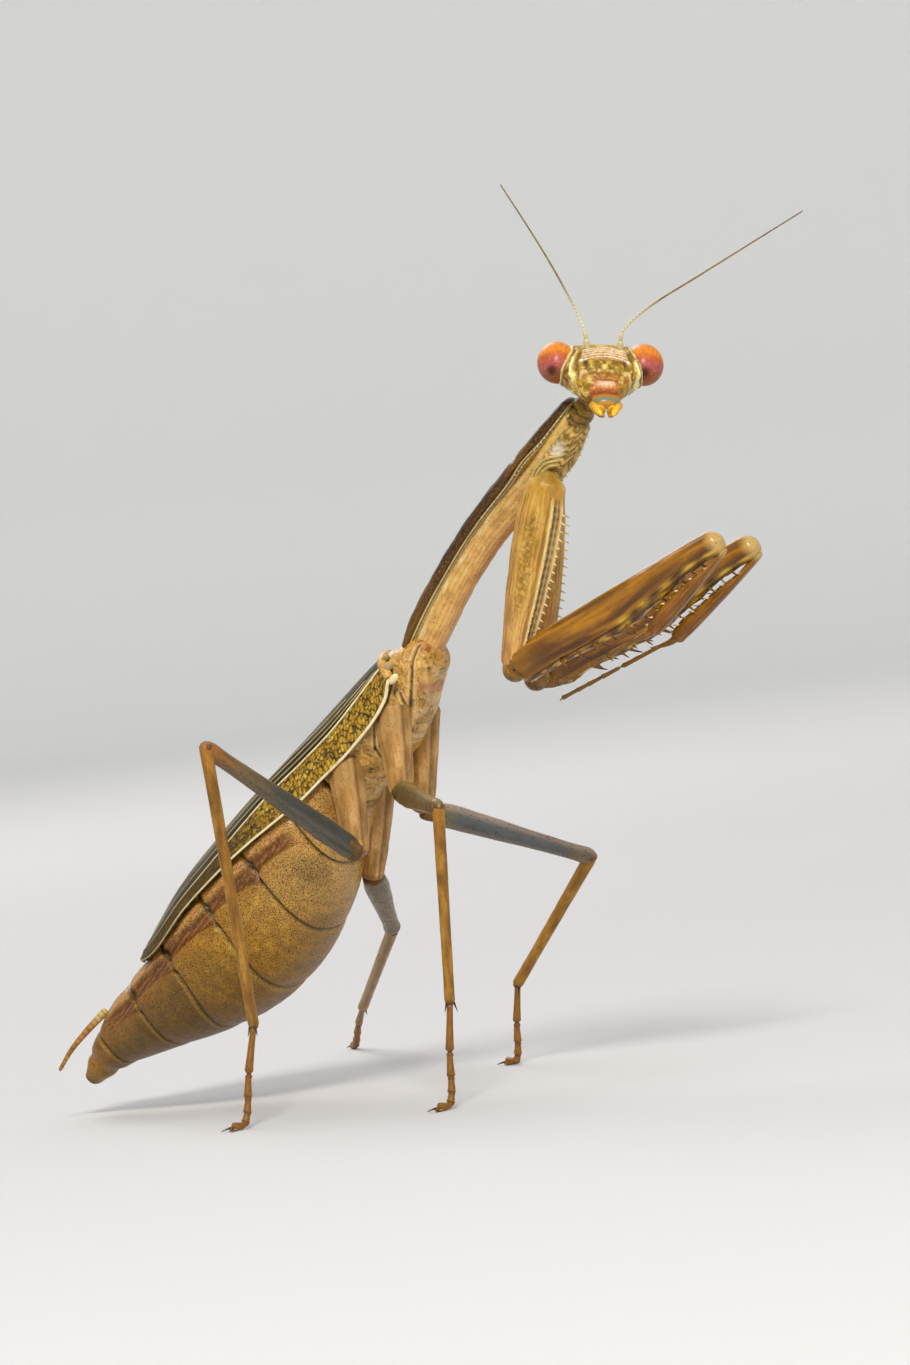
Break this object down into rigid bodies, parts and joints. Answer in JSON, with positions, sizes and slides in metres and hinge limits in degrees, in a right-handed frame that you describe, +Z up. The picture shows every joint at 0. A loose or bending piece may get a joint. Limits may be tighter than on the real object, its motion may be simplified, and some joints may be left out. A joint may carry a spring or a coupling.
{
  "type": "praying mantis",
  "caption": "Life-size adult praying mantis standing still on its walking legs, grasping forelegs folded, head turned to the side.",
  "frame": {"origin": "on the floor under the middle of the animal's overall box", "axes": "+Z up from the floor, +X the way the animal's body faces, +Y towards its left side"},
  "size_m": [0.0606, 0.0554, 0.0598],
  "materials": {
    "shell": "wrinkled tan plates of a living shell with brown seams",
    "pronotum": "dark brown shield with a cream margin",
    "eye": "glossy, orange above and pink below",
    "mouth": "yellow-orange, slightly glossy",
    "feeler": "cream at the root, brown beads further out",
    "neck": "creased tan membrane and small plates",
    "belly": "golden tan with fine dark dots, pink folds at the side",
    "cercus": "orange brown, ringed",
    "wing": "yellow-olive net of veins, cream edge",
    "grasper": "rich orange brown with yellow spots and dark grooves",
    "coxa": "tan pink with fine dark marks",
    "femur": "grey blue to pinkish with pale edges",
    "shin": "orange brown, slightly translucent in life"
  },
  "bodies": {
    "root": {"head_capsule": "shell", "mouthparts": "mouth", "eye_right": "eye", "eye_left": "eye", "mesothorax": "shell", "metathorax": "shell", "abdomen_1": "belly", "abdomen_2": "belly", "abdomen_3": "belly", "abdomen_4": "belly", "abdomen_5": "belly", "abdomen_6": "belly", "abdomen_tail": "belly", "cercus_right": "cercus", "forewing_right": "wing", "cercus_left": "cercus", "forewing_left": "wing", "antenna_right": "feeler", "antenna_left": "feeler", "pronotum": "pronotum", "prosternum": "shell", "neck": "neck", "coxa_mid_right": "coxa", "femur_mid_right": "femur", "tibia_mid_right": "shin", "tarsus_mid_right": "shin", "coxa_mid_left": "coxa", "femur_mid_left": "femur", "tibia_mid_left": "shin", "tarsus_mid_left": "shin", "coxa_hind_right": "coxa", "femur_hind_right": "femur", "tibia_hind_right": "shin", "tarsus_hind_right": "shin", "coxa_hind_left": "coxa", "femur_hind_left": "femur", "tibia_hind_left": "shin", "tarsus_hind_left": "shin", "coxa_fore_right": "coxa", "femur_fore_right": "grasper", "tibia_fore_right": "grasper", "tarsus_fore_right": "grasper", "coxa_fore_left": "coxa", "femur_fore_left": "grasper", "tibia_fore_left": "grasper", "tarsus_fore_left": "grasper"}
  },
  "joints": []
}
